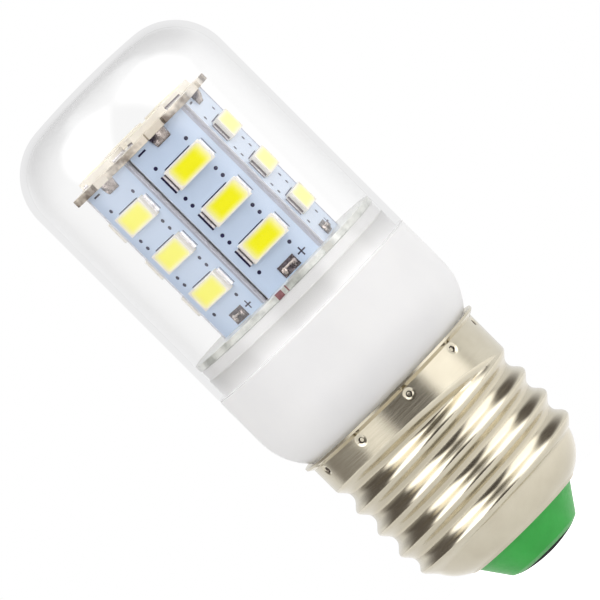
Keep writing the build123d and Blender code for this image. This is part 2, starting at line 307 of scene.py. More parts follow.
bm = bmesh.new()
first = tip = bm.verts.new((LIP_RADIUS * MM, 0, LIP_HEIGHT * MM))
tip = draw_arc(bm, tip, end_centre_radius, end_centre_height, lip_angle, 44)
tip = draw_to(
    bm, tip, (ROOT_RADIUS, FLARE_LOW), (CREST_RADIUS + FLARE_WIDTH, RIM_HEIGHT - SHEET),
    (CREST_RADIUS + FLARE_WIDTH, RIM_HEIGHT), (SKIRT_BORE + 0.8 * FLARE_WIDTH, RIM_HEIGHT),
    (SKIRT_BORE, FLARE_LOW + SHEET / 2), (SKIRT_BORE, BORE_WIDENS + THREAD_DEPTH),
    (ROOT_RADIUS - SHEET, BORE_WIDENS), (ROOT_RADIUS - SHEET, end_centre_height))
tip = draw_arc(bm, tip, end_centre_radius, end_centre_height, -lip_angle, 20)
bm.edges.new((tip, first))
thread_line = max(bm.edges, key=lambda edge: edge.calc_length())
bmesh.ops.subdivide_edges(bm, edges=[thread_line], cuts=THREAD_ROWS)
turn_section(bm, SHELL_STEPS)


def dimple_reach(place):
    """How far a place on the skirt is from the middle of the nearest dimple."""
    step = 360 / DIMPLES
    around = (degrees(atan2(place.y, place.x)) - DIMPLE_ANGLE + step / 2) % step - step / 2
    return hypot(radians(around) * CREST_RADIUS, place.z / MM - DIMPLE_HEIGHT)


near_dimples = {
    edge for face in bm.faces for edge in face.edges
    if hypot(face.verts[0].co.x, face.verts[0].co.y) > (ROOT_RADIUS - 0.01) * MM
    and dimple_reach(face.calc_center_median()) < DIMPLE_RADIUS + DIMPLE_MARGIN}
bmesh.ops.subdivide_edges(bm, edges=list(near_dimples), cuts=3, use_grid_fill=True)
groove_layer = bm.verts.layers.float.new("groove")
pit_layer = bm.verts.layers.float.new("pit")
for vert in bm.verts:
    radius = hypot(vert.co.x, vert.co.y) / MM
    height = vert.co.z / MM
    on_end = height < end_centre_height and hypot(
        radius - end_centre_radius, height - end_centre_height) > END_RADIUS - SHEET / 2
    on_wall = height >= end_centre_height - 0.001 and abs(radius - ROOT_RADIUS) < 0.02
    if not (on_end or on_wall):
        continue
    angle = degrees(atan2(vert.co.y, vert.co.x)) % 360
    new_radius, vert[groove_layer] = thread_radius(radius, height, angle)
    if on_end:
        vert[groove_layer] = 0.0
    reach = dimple_reach(vert.co)
    if reach < DIMPLE_RADIUS:
        new_radius -= DIMPLE_DEPTH * (1 - (reach / DIMPLE_RADIUS) ** 2) ** 2
    if reach < PIT_RADIUS:
        new_radius -= PIT_DEPTH * (1 - (reach / PIT_RADIUS) ** 2)
        vert[pit_layer] = 1.0
    vert.co.x *= new_radius / radius
    vert.co.y *= new_radius / radius
bmesh.ops.recalc_face_normals(bm, faces=bm.faces[:])
finish_piece(bm, "threaded_shell", nickel, "plated_shell", "screw_shell", smooth_angle=50)

# Driver: an upright board in the neck with a film capacitor, a rectifier, a smoothing capacitor and a
# fusible resistor. Two leads join it to the cap, and two pins carry the base board.


def dress_node(node, material):
    """Gives a solid of the frame, which keeps its shape, a finished material."""
    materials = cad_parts[node].data.materials
    materials.clear()
    materials.append(material)


def mottled_material(name, first, second, scale, low, high, bump, **sockets):
    """A material with two close tones, an uneven roughness and a fine bump, all at one scale."""
    material, tree, shader = new_material(name, **sockets)
    tree.links.new(
        mix_colours(tree, add_mottle(tree, scale, 0.0, 1.0), first, second), shader.inputs["Base Color"])
    tree.links.new(add_mottle(tree, 2 * scale, low, high), shader.inputs["Roughness"])
    add_bump(tree, shader, add_mottle(tree, 4 * scale, 0.0, 1.0), bump)
    return material


copper = mottled_material(
    "copper_lead", colour(196, 132, 92), colour(170, 104, 70), 700, 0.25, 0.45, 0.01, metallic=1.0)
tin = mottled_material(
    "tinned_metal", colour(206, 206, 206), colour(178, 178, 182), 900, 0.16, 0.36, 0.012, metallic=1.0)
for node, material in (
        ("driver_board", mottled_material(
            "green_board", colour(40, 110, 62), colour(52, 124, 70), 500, 0.35, 0.5, 0.006)),
        ("film_capacitor", mottled_material(
            "dipped_red", colour(168, 44, 36), colour(150, 36, 30), 300, 0.15, 0.3, 0.02)),
        ("bridge_rectifier", mottled_material(
            "black_package", colour(28, 28, 30), colour(40, 40, 42), 1200, 0.45, 0.65, 0.01)),
        ("smoothing_capacitor", mottled_material(
            "dark_sleeve", colour(34, 36, 58), colour(46, 48, 72), 400, 0.25, 0.4, 0.01)),
        ("fuse_resistor", mottled_material(
            "grey_lacquer", colour(120, 140, 150), colour(134, 152, 160), 600, 0.3, 0.5, 0.015)),
        ("feed_pins", tin), ("live_wire", copper), ("neutral_wire", copper)):
    dress_node(node, material)

# Neck housing: moulded in white plastic with a soft shine, with a rounded shoulder over the shell.
# Its collar carries the base board, and the clear cover slips over it, in a film of cement.
NECK_RADIUS = 15.3
NECK_LEDGE = 40.416
COLLAR_RADIUS = 14.4
COLLAR_TOP = 44.566
COLLAR_RELIEF = 0.15
CEMENT_TOP = 43.0
CEMENT_AND_SHADE_SHARE = 0.35
COLLAR_BORE = 13.0
SPIGOT_RADIUS = 12.7
SPIGOT_BORE = 11.3
SPIGOT_LOW = 24.416
NECK_STEP = 30.016
SHOULDER_RADIUS = 8.5

white_plastic, tree, shader = new_material("white_moulding", specular_ior_level=0.35)
white_tone = mix_colours(tree, add_mottle(tree, 120, 0.0, 1.0), colour(240, 240, 241), colour(244, 244, 244))
# The collar is painted greyer, most below its step: the film of cement, and painted shade under the base board
# and the cover.
cement_and_shade = add_node(tree, "ShaderNodeAttribute", attribute_name="cement_and_shade").outputs["Fac"]
tree.links.new(mix_colours(tree, cement_and_shade, white_tone, colour(204, 204, 203)), shader.inputs["Base Color"])
tree.links.new(add_mottle(tree, 700, 0.4, 0.48), shader.inputs["Roughness"])
add_bump(tree, shader, add_mottle(tree, 5000, 0.0, 1.0), 0.0006)

bm = bmesh.new()
shoulder_centre = NECK_RADIUS - SHOULDER_RADIUS
foot_reach = SKIRT_BORE - shoulder_centre
shoulder_top = RIM_HEIGHT + sqrt(SHOULDER_RADIUS ** 2 - foot_reach ** 2)
first = tip = bm.verts.new((SPIGOT_BORE * MM, 0, SPIGOT_LOW * MM))
tip = draw_to(bm, tip, (SPIGOT_RADIUS, SPIGOT_LOW), (SPIGOT_RADIUS, RIM_HEIGHT), (SKIRT_BORE, RIM_HEIGHT))
tip = draw_arc(
    bm, tip, shoulder_centre, shoulder_top, degrees(atan2(shoulder_top - RIM_HEIGHT, foot_reach)), 24)
tip = draw_to(
    bm, tip, (NECK_RADIUS, NECK_LEDGE), (COLLAR_RADIUS, NECK_LEDGE), (COLLAR_RADIUS, CEMENT_TOP),
    (COLLAR_RADIUS - COLLAR_RELIEF, CEMENT_TOP + COLLAR_RELIEF), (COLLAR_RADIUS - COLLAR_RELIEF, COLLAR_TOP),
    (COLLAR_BORE, COLLAR_TOP), (COLLAR_BORE, NECK_STEP), (SPIGOT_BORE, NECK_STEP))
bm.edges.new((tip, first))
turn_section(bm)
round_rings(bm, [(NECK_RADIUS, NECK_LEDGE)], 0.15)
round_rings(bm, [(COLLAR_RADIUS - COLLAR_RELIEF, COLLAR_TOP)], 0.1)
# Greyer collar: cement, and painted shade.
cement_and_shade_layer = bm.verts.layers.float.new("cement_and_shade")
for vert in bm.verts:
    out = hypot(vert.co.x, vert.co.y) / MM
    if out > COLLAR_BORE + 0.2 and vert.co.z > NECK_LEDGE * MM and out < COLLAR_RADIUS + 0.01:
        vert[cement_and_shade_layer] = 1.0 if out > COLLAR_RADIUS - 0.01 else CEMENT_AND_SHADE_SHARE
finish_piece(bm, "white_neck", white_plastic, "white_housing", "neck_housing", smooth_angle=12)

# Base board: a round disc of glass-fibre board on the collar, with a pale top.
# The six strips stand on it, and their feet are soldered to its pads.


def softened_copy(node, width, segments=2):
    """A bmesh of a solid of the frame, with its facets joined and its edges rounded."""
    bm = bmesh.new()
    bm.from_mesh(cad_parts[node].data)
    bmesh.ops.remove_doubles(bm, verts=bm.verts[:], dist=0.001 * MM)
    bmesh.ops.dissolve_limit(bm, angle_limit=radians(1), verts=bm.verts[:], edges=bm.edges[:])
    sharp = [edge for edge in bm.edges if edge.calc_face_angle(0.0) > radians(30)]
    bmesh.ops.bevel(
        bm, geom=sharp, offset=width * MM, affect="EDGES", segments=segments, profile=0.5, material=-1)
    return bm


def plain_math(tree, operation, *values, **settings):
    """The output of a math node."""
    return add_node(
        tree, "ShaderNodeMath", dict(enumerate(values)), operation=operation, **settings).outputs["Value"]


def board_material(name, top, edge_low, edge_high, patch_scale, **sockets):
    """A board with one tone on top and a cut edge in light and dark patches, which are painted reflections and
    shade.
    """
    material, tree, shader = new_material(name, **sockets)
    normal = add_node(tree, "ShaderNodeNewGeometry").outputs["Normal"]
    up = add_node(tree, "ShaderNodeSeparateXYZ", {"Vector": normal}).outputs["Z"]
    facing_up = plain_math(tree, "GREATER_THAN", up, 0.7)
    # The edge's light and dark patches are painted reflections and shade.
    edge = mix_colours(tree, add_mottle(tree, patch_scale, -0.4, 1.4), edge_low, edge_high)
    tree.links.new(mix_colours(tree, facing_up, edge, top), shader.inputs["Base Color"])
    tree.links.new(add_mottle(tree, 2500, 0.25, 0.45), shader.inputs["Roughness"])
    add_bump(tree, shader, add_mottle(tree, 5000, 0.0, 1.0), 0.006)
    return material


# The base board's edge patches are painted reflections.
base_laminate = board_material(
    "base_laminate", colour(208, 209, 205), colour(162, 165, 158), colour(226, 228, 222), 330,
    coat_weight=0.5, coat_roughness=0.15)
finish_piece(softened_copy("base_board", 0.05), "base_disc", base_laminate, "base_board", "base_board")

# Edge pads of the base board: half holes at its rim, cut through when the disc was milled out of its panel.
# The left two show aged copper, and the right one is tinned.
PADS = ((-18, 1.0, "copper"), (-13.4, 0.2, "copper"), (15, 1.3, "tin"))
PAD_DEPTH = 0.24
PAD_SUNK = 0.1
PAD_PROUD = 0.02
PAD_EDGE = 0.04
board_low, board_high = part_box("base_board")
BOARD_RADIUS = board_high.x / MM


def rounded_block(matrix, width):
    """A bmesh of a block, placed and sized by a matrix, with its edges rounded."""
    bm = bmesh.new()
    bmesh.ops.create_cube(bm, size=1, matrix=matrix)
    bmesh.ops.bevel(
        bm, geom=bm.edges[:], offset=width * MM, affect="EDGES", segments=2, profile=0.5, material=-1)
    return bm


pad_copper = mottled_material("aged_copper", colour(98, 48, 56), colour(142, 92, 94), 900, 0.3, 0.5, 0.01)
pad_tin = mottled_material("aged_tin", colour(168, 168, 158), colour(192, 192, 184), 900, 0.3, 0.5, 0.01)
pad_middle = Matrix.Translation((0, -(BOARD_RADIUS - PAD_SUNK) * MM, (board_low.z + board_high.z) / 2))
for number, (angle, width, metal) in enumerate(PADS, 1):
    size = Matrix.Diagonal((width * MM, PAD_DEPTH * MM, board_high.z - board_low.z + PAD_PROUD * MM, 1))
    block = rounded_block(Matrix.Rotation(radians(angle), 4, "Z") @ pad_middle @ size, PAD_EDGE)
    finish_piece(block, f"edge_pad_{number}", pad_copper if metal == "copper" else pad_tin, "base_board")

# LED strips: six narrow boards with a bluish white solder mask, standing on end in a six-sided column.
# Their cut edges show the bare laminate in the open corners between them.
STRIPS = 6
mask_white, tree, shader = new_material("white_solder_mask", coat_weight=1.0, coat_roughness=0.2)
face_mark = add_node(tree, "ShaderNodeAttribute", attribute_name="mask").outputs["Fac"]
mask_tone = mix_colours(tree, add_mottle(tree, 180, 0.0, 1.0), colour(181, 199, 224), colour(185, 202, 226))
tree.links.new(mix_colours(tree, face_mark, colour(198, 198, 206), mask_tone), shader.inputs["Base Color"])
tree.links.new(add_mottle(tree, 1600, 0.28, 0.42), shader.inputs["Roughness"])
add_bump(tree, shader, add_mottle(tree, 2600, 0.0, 1.0), 0.006)

strip_low, strip_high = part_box("led_strip_1")
STRIP_FACE = -strip_low.y / MM
for number in range(1, STRIPS + 1):
    bm = softened_copy(f"led_strip_{number}", 0.02)
    turn = Matrix.Rotation(radians(60 * (number - 1)), 3, "Z")
    outward = turn @ Vector((0, -1, 0))
    mask_layer = bm.verts.layers.float.new("mask")
    for vert in bm.verts:
        vert[mask_layer] = 1.0 if vert.co.dot(outward) > (STRIP_FACE - 0.01) * MM else 0.0
    finish_piece(bm, f"strip_board_{number}", mask_white, "white_board", f"led_strip_{number}")

# Marks on the strips: dark ink dots beside each LED, a line at its top edge, bars by its terminals,
# and a plus and a minus at the strip's two ends.
LED_HEIGHTS = (50.866, 57.016, 63.166)
INK_LIFT = 0.012
DOT_RADIUS = 0.26
DOT_SIDES = (-3.11, 2.1)
DOT_RISES = (-2.49, 2.49)
# The bar by each LED's left terminal is wider than the right one: print, widened by painted shade.
LED_BARS = ((-0.35, 1.6, 4.2, 0.14), (-3.38, 0, 0.28, 2.6), (3.42, 0, 0.1, 2.5))
PLUS_AND_MINUS = ((2.35, 46.6, 1.2, 0.2), (2.35, 46.6, 0.2, 1.2), (-2.96, 68.1, 1.2, 0.24))
ink_and_shade, tree, shader = new_material("board_ink_and_shade", specular_ior_level=0.1)
tree.links.new(
    mix_colours(tree, add_mottle(tree, 4000, 0.0, 1.0), colour(12, 8, 44), colour(30, 26, 66)),
    shader.inputs["Base Color"])
tree.links.new(add_mottle(tree, 3000, 0.4, 0.6), shader.inputs["Roughness"])


def strip_place(across, height, out):
    """A place on the first strip: across to the right, up, and out from its face."""
    return Matrix.Translation((across * MM, -(STRIP_FACE + out) * MM, height * MM))


def strip_plate(bm, across, height, width, tall, thick):
    """A thin printed bar on the strip's face."""
    bmesh.ops.create_cube(bm, size=1, matrix=strip_place(across, height, thick / 2) @ Matrix.Diagonal(
        (width * MM, thick * MM, tall * MM, 1)))


def strip_dot(bm, across, height, radius, thick):
    """A thin printed dot on the strip's face."""
    bmesh.ops.create_cone(
        bm, cap_ends=True, segments=20, radius1=radius * MM, radius2=radius * MM, depth=thick * MM,
        matrix=strip_place(across, height, thick / 2) @ Matrix.Rotation(pi / 2, 4, "X"))


def finish_on_strips(bm, name, material, slot, *nodes):
    """Makes a bmesh for the first strip into a piece on each strip, which stands for that strip's nodes."""
    for index in range(STRIPS):
        copy = bm.copy()
        bmesh.ops.rotate(
            copy, verts=copy.verts[:], cent=(0, 0, 0), matrix=Matrix.Rotation(radians(60 * index), 3, "Z"))
        number = index + 1
        finish_piece(copy, f"{name}_{number}", material, slot, *(f"{node}_{number}" for node in nodes))
    bm.free()


marks = bmesh.new()
for height in LED_HEIGHTS:
    for across in DOT_SIDES:
        for rise in DOT_RISES:
            strip_dot(marks, across, height + rise, DOT_RADIUS, INK_LIFT)
    for across, rise, width, tall in LED_BARS:
        strip_plate(marks, across, height + rise, width, tall, INK_LIFT)
for across, height, width, tall in PLUS_AND_MINUS:
    strip_plate(marks, across, height, width, tall, INK_LIFT)
finish_on_strips(marks, "strip_marks", ink_and_shade, "white_board")

# Margins of the strips: a greyer band along each strip's long right edge,
# a painted shade that widens the dark corner between it and the next strip.
MARGIN = 0.35
MARGIN_SHORT = 0.1
STRIP_HALF = strip_high.x / MM
# The margin's grey is a painted shade.
seam_shade_laminate = mottled_material(
    "seam_shade_laminate", colour(146, 151, 168), colour(160, 164, 180), 600, 0.4, 0.55, 0.006)
margins = bmesh.new()
strip_plate(
    margins, STRIP_HALF - MARGIN / 2, (strip_low.z + strip_high.z) / 2 / MM, MARGIN,
    (strip_high.z - strip_low.z) / MM - MARGIN_SHORT, INK_LIFT)
finish_on_strips(margins, "seam_shade_margins", seam_shade_laminate, "white_board")

# LEDs on the strips: cream moulded packages with a rounded window, filled with yellow phosphor.
# A tinned terminal at each end is soldered to the board.
LED_LENGTH = 5.7
LED_WIDTH = 3.0
LED_THICK = 0.9
WINDOW_LENGTH = 5.2
WINDOW_WIDTH = 2.68
WINDOW_CORNER = 0.5
WINDOW_DEPTH = 0.32
PHOSPHOR_RECESS = 0.06
PHOSPHOR_RINGS = [
    (0.96, 0.94, 0.15, 0.015), (0.9, 0.89, 0.5, 0.012), (0.845, 0.82, 0.85, 0.01), (0.815, 0.8, 0.97, 0.006),
    (0.77, 0.8, 1.0, 0.004)]
LED_EDGE = 0.07
CUP_TAPER = (0.94, 0.9, 1)
PHOSPHOR_EASE = (0.995, 0.99, 1)
TERMINAL_WIDTH = 2.5
STRIP_TERMINAL_SHARE = 0.62
TERMINAL_SECTION = [(0, 0), (0.65, 0), (0.65, 0.05), (0.42, 0.09), (0.2, 0.18), (0.08, 0.33), (0, 0.35)]

led_cream = mottled_material(
    "cream_package", colour(232, 226, 214), colour(239, 234, 223), 900, 0.35, 0.5, 0.005)

phosphor, tree, shader = new_material("yellow_phosphor", specular_ior_level=0.05)
core = add_node(tree, "ShaderNodeAttribute", attribute_name="core").outputs["Fac"]
grain = add_mottle(tree, 5000, -0.02, 0.03)
core_grain = plain_math(tree, "ADD", core, grain, use_clamp=True)
gel = mix_colours(tree, core_grain, colour(252, 247, 196), colour(254, 249, 2))
# The phosphor pales towards grazing view: a painted sheen.
painted_sheen = add_node(tree, "ShaderNodeLayerWeight", {"Blend": 0.2})
tree.links.new(
    mix_colours(tree, painted_sheen.outputs["Facing"], gel, colour(252, 251, 232)), shader.inputs["Base Color"])
tree.links.new(add_mottle(tree, 2400, 0.4, 0.55), shader.inputs["Roughness"])
add_bump(tree, shader, add_mottle(tree, 6000, 0.0, 1.0), 0.004)

tinned_end, tree, shader = new_material("tinned_end", metallic=0.45)
dark_reflection = add_node(tree, "ShaderNodeAttribute", attribute_name="dark_reflection").outputs["Fac"]
end_tone = mix_colours(tree, add_mottle(tree, 1500, 0.0, 1.0), colour(206, 203, 204), colour(168, 163, 165))
# The left terminal's dark band next to the package is a painted reflection.
tree.links.new(mix_colours(tree, dark_reflection, end_tone, colour(62, 52, 56)), shader.inputs["Base Color"])
tree.links.new(add_mottle(tree, 1800, 0.25, 0.45), shader.inputs["Roughness"])
add_bump(tree, shader, add_mottle(tree, 3600, 0.0, 1.0), 0.012)


def window_face(bm):
    """A flat face the size of the LED's window, with round corners."""
    bmesh.ops.create_grid(bm, x_segments=1, y_segments=1, size=0.5)
    bmesh.ops.scale(bm, vec=(WINDOW_LENGTH * MM, WINDOW_WIDTH * MM, 1), verts=bm.verts[:])
    bmesh.ops.bevel(
        bm, geom=bm.verts[:], offset=WINDOW_CORNER * MM, affect="VERTICES", segments=5, profile=0.5,
        material=-1)
    return bm.faces[:]


def led_package():
    """One package on the XY plane, with a cup below its window."""
    size = Matrix.Diagonal((LED_LENGTH * MM, LED_WIDTH * MM, LED_THICK * MM, 1))
    bm = rounded_block(Matrix.Translation((0, 0, LED_THICK * MM / 2)) @ size, LED_EDGE)
    top = max(bm.faces, key=lambda face: face.calc_center_median().z)
    rim = top.edges[:]
    bmesh.ops.delete(bm, geom=[top], context="FACES_ONLY")
    window = bmesh.new()
    window_face(window)
    mesh = bpy.data.meshes.new("window")
    window.to_mesh(mesh)
    window.free()
    before = set(bm.faces)
    bm.from_mesh(mesh)
    bpy.data.meshes.remove(mesh)
    floor = [face for face in bm.faces if face not in before]
    bmesh.ops.translate(bm, vec=(0, 0, LED_THICK * MM), verts=floor[0].verts[:])
    mouth = floor[0].edges[:]
    sunk = bmesh.ops.extrude_face_region(bm, geom=floor, use_keep_orig=False)
    sunk_verts = [part for part in sunk["geom"] if isinstance(part, bmesh.types.BMVert)]
    bmesh.ops.translate(bm, vec=(0, 0, -WINDOW_DEPTH * MM), verts=sunk_verts)
    bmesh.ops.scale(bm, vec=CUP_TAPER, verts=sunk_verts)
    bmesh.ops.delete(bm, geom=floor, context="FACES_ONLY")
    bmesh.ops.bridge_loops(bm, edges=rim + mouth)
    bmesh.ops.recalc_face_normals(bm, faces=bm.faces[:])
    return bm


def led_phosphor():
    """The phosphor in one window, with a soft meniscus and a paler margin."""
    bm = bmesh.new()
    face = window_face(bm)
    bmesh.ops.scale(bm, vec=PHOSPHOR_EASE, verts=bm.verts[:])
    bmesh.ops.translate(bm, vec=(0, 0, (LED_THICK - PHOSPHOR_RECESS / 2) * MM), verts=bm.verts[:])
    core_layer = bm.verts.layers.float.new("core")
    for shrink_length, shrink_width, share, sink in PHOSPHOR_RINGS:
        bmesh.ops.inset_individual(bm, faces=face, thickness=0)
        bmesh.ops.scale(bm, vec=(shrink_length, shrink_width, 1), verts=face[0].verts[:])
        for vert in face[0].verts:
            vert[core_layer] = share
            vert.co.z -= sink * MM
    return bm


def led_terminals(reach_share):
    """The two soldered terminals of one LED, each a fillet against the package's end, one with a painted dark
    reflection next to the package.
    """
    bm = bmesh.new()
    dark_reflection_layer = bm.verts.layers.float.new("dark_reflection")
    for side in (-1, 1):
        corners = [
            bm.verts.new(
                (side * (LED_LENGTH / 2 + out * reach_share) * MM, -TERMINAL_WIDTH / 2 * MM, up * MM))
            for out, up in TERMINAL_SECTION]
        # Painted dark reflection on the left terminal, next to the package.
        if side < 0:
            for vert in corners[4:]:
                vert[dark_reflection_layer] = 1.0
        end = bm.faces.new(corners)
        drawn = bmesh.ops.extrude_face_region(bm, geom=[end])
        bmesh.ops.translate(
            bm, vec=(0, TERMINAL_WIDTH * MM, 0),
            verts=[part for part in drawn["geom"] if isinstance(part, bmesh.types.BMVert)])
    bmesh.ops.recalc_face_normals(bm, faces=bm.faces[:])
    return bm


def merge_copies(source, places):
    """One bmesh with a copy of another at each place."""
    mesh = bpy.data.meshes.new("copies")
    source.to_mesh(mesh)
    source.free()
    joined = bmesh.new()
    for place in places:
        before = set(joined.verts)
        joined.from_mesh(mesh)
        bmesh.ops.transform(joined, matrix=place, verts=[v for v in joined.verts if v not in before])
    bpy.data.meshes.remove(mesh)
    return joined


led_places = [
    strip_place(0, height, 0) @ Matrix.Rotation(pi / 2, 4, "X") for height in LED_HEIGHTS]
for part, name, material, slot, node in (
        (led_package(), "led_packages", led_cream, "led_package", "led_bodies"),
        (led_phosphor(), "led_windows", phosphor, "led_phosphor", "led_phosphors"),
        (led_terminals(STRIP_TERMINAL_SHARE), "led_ends", tinned_end, "led_terminal", "led_terminals")):
    finish_on_strips(merge_copies(part, led_places), name, material, slot, node)

# Solder at the two ends of each strip: a foot of two bright beads with a tinned link between them,
# and a faceted lump at the head, below the tab that goes into the top board. The lump's upper corner
# and foot line and the pad under the beads are darkened as painted shade, and the right bead is darker.
JOINT_WIDTH = 2.6
FOOT_LOW = 45.6
FOOT_HEIGHT = 1.6
HEAD_LOW = 67.216
HEAD_TOP = 68.6
HEAD_DEPTH = 0.72
PAD_THICK = 0.1
PAD_SHADE = 0.85
BEAD_ASIDE = 0.8
BEAD_RISE = 0.72
BEAD_WIDTH = 0.86
BEAD_TALL = 1.1
BEAD_OUT = 0.42
BEAD_DARKENING = 0.5
LINK_RADIUS = 0.16
LINK_LENGTH = 1.5
LINK_RISE = 0.95
LINK_OUT = 0.3

solder, tree, shader = new_material("soft_solder", metallic=0.8)
darkening = add_node(tree, "ShaderNodeAttribute", attribute_name="darkening").outputs["Fac"]
solder_tone = mix_colours(tree, add_mottle(tree, 1100, 0.0, 1.0), colour(192, 182, 176), colour(128, 118, 113))
# Darkened places are painted shade, and the right bead is darker.
tree.links.new(mix_colours(tree, darkening, solder_tone, colour(34, 26, 40)), shader.inputs["Base Color"])
tree.links.new(add_mottle(tree, 1800, 0.18, 0.34), shader.inputs["Roughness"])
add_bump(tree, shader, add_mottle(tree, 2600, 0.0, 1.0), 0.03)


def solder_bead(bm, across):
    """A bead of solder that sits on the strip's foot, cut flat against its face."""
    size = Matrix.Diagonal((BEAD_WIDTH / 2 * MM, BEAD_OUT * MM, BEAD_TALL / 2 * MM, 1))
    made = bmesh.ops.create_uvsphere(
        bm, u_segments=20, v_segments=14, radius=1, matrix=strip_place(across, FOOT_LOW + BEAD_RISE, 0) @ size)
    for vert in made["verts"]:
        vert.co.y = min(vert.co.y, -STRIP_FACE * MM)
    return made["verts"]


def solder_joints():
    """The head and the foot of one strip, with how far each place is darkened, as painted shade at the head
    and the pad.
    """
    bm = bmesh.new()
    darkening_layer = bm.verts.layers.float.new("darkening")
    bmesh.ops.create_cube(bm, size=2)
    bmesh.ops.subdivide_edges(bm, edges=bm.edges[:], cuts=7, use_grid_fill=True)
    for vert in bm.verts:
        side, out, rise = vert.co.x, (vert.co.y + 1) / 2, (vert.co.z + 1) / 2
        depth = HEAD_DEPTH * (0.3 + 0.7 * rise ** 0.7) * (1 - 0.75 * side ** 6)
        crease = 0.12 * sin(7 * side + 4 * rise) * out
        corner = 1.1 - hypot(side + 1, 1.3 * (rise - 1))
        foot_line = 0.7 - 4 * rise
        # The head's upper corner, under the top board, and its foot line are darkened: painted shade.
        vert[darkening_layer] = max(0.0, min(1.0, max(1.6 * corner, foot_line)))
        vert.co = strip_place(
            side * JOINT_WIDTH / 2 * (0.82 + 0.18 * rise), HEAD_LOW + rise * (HEAD_TOP - HEAD_LOW),
            out * (depth + crease)) @ Vector((0, 0, 0))
    pad_size = Matrix.Diagonal((JOINT_WIDTH * MM, PAD_THICK * MM, FOOT_HEIGHT * MM, 1))
    pad = bmesh.ops.create_cube(
        bm, size=1, matrix=strip_place(0, FOOT_LOW + FOOT_HEIGHT / 2, PAD_THICK / 2) @ pad_size)
    # The pad under the beads is darkened: painted shade.
    for vert in pad["verts"]:
        vert[darkening_layer] = PAD_SHADE
    solder_bead(bm, -BEAD_ASIDE)
    for vert in solder_bead(bm, BEAD_ASIDE):
        vert[darkening_layer] = BEAD_DARKENING
    link_place = strip_place(0, FOOT_LOW + LINK_RISE, LINK_OUT) @ Matrix.Rotation(pi / 2, 4, "Y")
    bmesh.ops.create_cone(
        bm, cap_ends=True, segments=16, radius1=LINK_RADIUS * MM, radius2=LINK_RADIUS * MM,
        depth=LINK_LENGTH * MM, matrix=link_place)
    bmesh.ops.recalc_face_normals(bm, faces=bm.faces[:])
    return bm


finish_on_strips(solder_joints(), "strip_solder", solder, "solder", "strip_joints")

# Top board: a six-sided plate of tan laminate under a cream face, notched over the middle of each strip.
# The strip's tab comes up through the notch and stands just proud of the face.
TAB_TOP = 69.62
TAB_EDGE = 0.06
# The top board's cut edge is tan laminate, with dark brown patches of painted shade.
top_laminate = board_material(
    "top_laminate", colour(232, 226, 214), colour(92, 74, 56), colour(226, 216, 200), 380,
    coat_weight=0.4, coat_roughness=0.2)
finish_piece(softened_copy("top_board", 0.05), "top_plate", top_laminate, "white_board", "top_board")
tab_cream = mottled_material("tab_cream", colour(228, 220, 206), colour(214, 203, 186), 500, 0.3, 0.45, 0.006)
tab_size = Matrix.Diagonal((JOINT_WIDTH * MM, HEAD_DEPTH * MM, (TAB_TOP - HEAD_TOP) * MM, 1))
tab = rounded_block(strip_place(0, (HEAD_TOP + TAB_TOP) / 2, HEAD_DEPTH / 2) @ tab_size, TAB_EDGE)
finish_on_strips(tab, "strip_tab", tab_cream, "white_board")

# LEDs on the top board: the same packages, soldered flat along each of its six sides.
# Their terminals are shorter, because the board has less room.
TOP_TERMINAL_SHARE = 0.53
TOP_RING = -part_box("top_led_bodies")[0].y / MM - LED_WIDTH / 2
column_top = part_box("top_board")[1].z
top_places = [
    Matrix.Rotation(radians(60 * index), 4, "Z") @ Matrix.Translation((0, -TOP_RING * MM, column_top))
    for index in range(STRIPS)]
for part, name, material, slot, node in (
        (led_package(), "top_packages", led_cream, "led_package", "top_led_bodies"),
        (led_phosphor(), "top_windows", phosphor, "led_phosphor", "top_led_phosphors"),
        (led_terminals(TOP_TERMINAL_SHARE), "top_ends", tinned_end, "led_terminal", "top_led_terminals")):
    finish_piece(merge_copies(part, top_places), name, material, slot, node)

# Clear cover: a thin polycarbonate jar, moulded in one piece with a rounded corner and a crowned end.
# It slips over the collar and is cemented to the ledge. Its outer skin carries the gloss and is painted
# greyer towards its outline and over its crown, a painted shade, and its bore is left clear.
COVER_WALL = 0.85
COVER_FOOT = 40.516
COVER_TOP = 78.766
COVER_CORNER = 7.6
COVER_CROWN = 110.0
CORNER_MARGIN = 2
EDGE_FROM = 0.27
EDGE_TO = 0.75
CROWN_EDGE = 0.25
GRAZING_FROM = 0.6
GRAZING_TO = 0.8
CROWN_DULL = 0.85


def smooth_share(tree, value, low, high):
    """A smooth step from 0 to 1 between two values."""
    return add_node(tree, "ShaderNodeMapRange", {
        "Value": value, "From Min": low, "From Max": high}, interpolation_type="SMOOTHSTEP").outputs["Result"]


clear_plastic, tree, shader = new_material(
    "clear_moulding", transmission_weight=1.0, ior=1.001, coat_ior=1.8, coat_roughness=0.02)
bore = add_node(tree, "ShaderNodeAttribute", attribute_name="bore").outputs["Fac"]
leaving = add_node(tree, "ShaderNodeNewGeometry").outputs["Backfacing"]
facing = add_node(tree, "ShaderNodeLayerWeight", {"Blend": 0.5}).outputs["Facing"]
place = add_node(tree, "ShaderNodeTexCoord").outputs["Object"]
crown = add_node(tree, "ShaderNodeMapRange", {
    "Value": add_node(tree, "ShaderNodeSeparateXYZ", {"Vector": place}).outputs["Z"],
    "From Min": (COVER_TOP - COVER_CORNER - CORNER_MARGIN) * MM, "From Max": COVER_TOP * MM}).outputs["Result"]
outside = plain_math(
    tree, "MULTIPLY", plain_math(tree, "SUBTRACT", 1.0, bore), plain_math(tree, "SUBTRACT", 1.0, leaving))
edge = smooth_share(tree, plain_math(tree, "MULTIPLY_ADD", crown, CROWN_EDGE, facing), EDGE_FROM, EDGE_TO)
